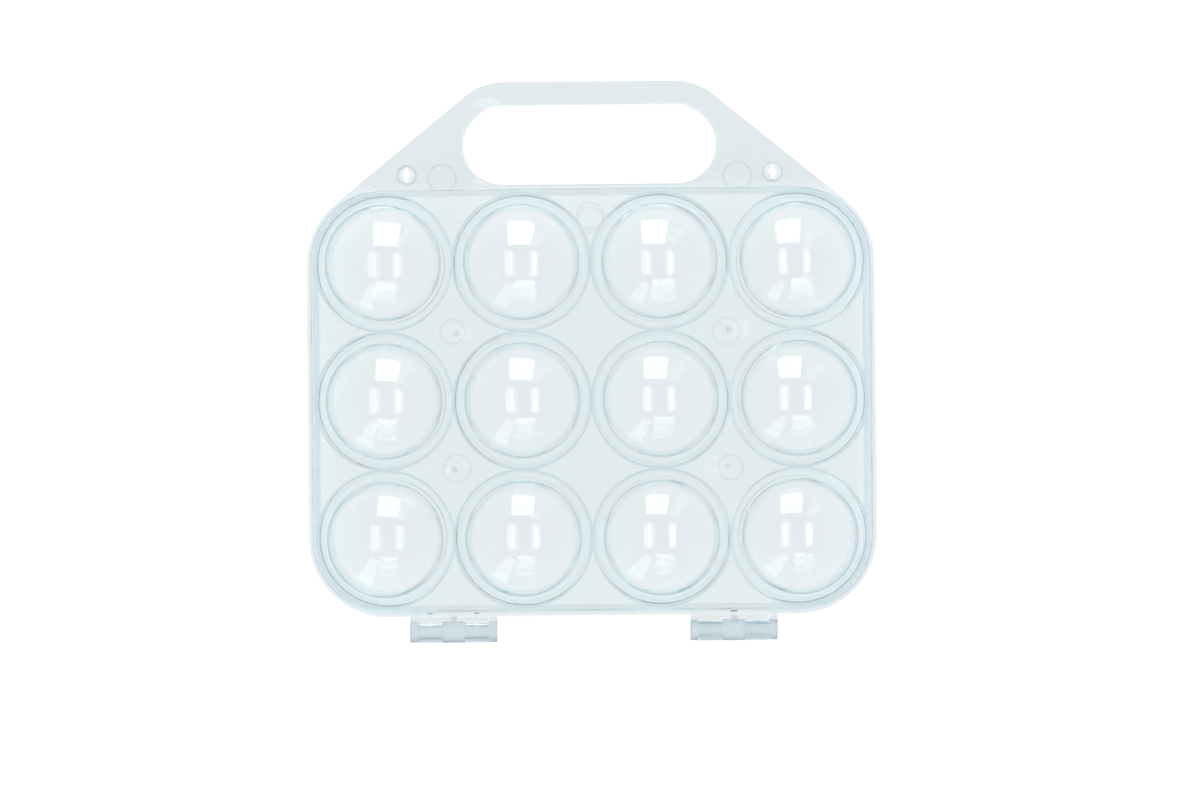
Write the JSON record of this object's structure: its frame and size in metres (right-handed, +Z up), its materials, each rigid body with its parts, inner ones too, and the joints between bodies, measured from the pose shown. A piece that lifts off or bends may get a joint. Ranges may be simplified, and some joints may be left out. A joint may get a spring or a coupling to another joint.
{
  "type": "hinged egg carrier",
  "caption": "Clear hinged carrier of two moulded half shells that close round domed egg cells, with a carrying handle, snap studs and clip hinges.",
  "frame": {"origin": "centre of the overall box in plan, at the height of the surface that the lower domes lie on", "axes": "+Z up through the domes, +Y towards the handle, +X along the hinge bars"},
  "size_m": [0.2324, 0.2294, 0.068],
  "materials": {
    "clear_plastic": "glossy see-through moulding with a faint blue-grey tint"
  },
  "bodies": {
    "base": {"lower_shell": "clear_plastic"},
    "lid": {"upper_shell": "clear_plastic"}
  },
  "joints": [
    {"name": "lid_hinge", "type": "hinge", "parent": "base", "child": "lid", "pos_m": [0, -0.1103, 0.034], "axis": [1, 0, 0], "range_deg": [0, 180]}
  ]
}
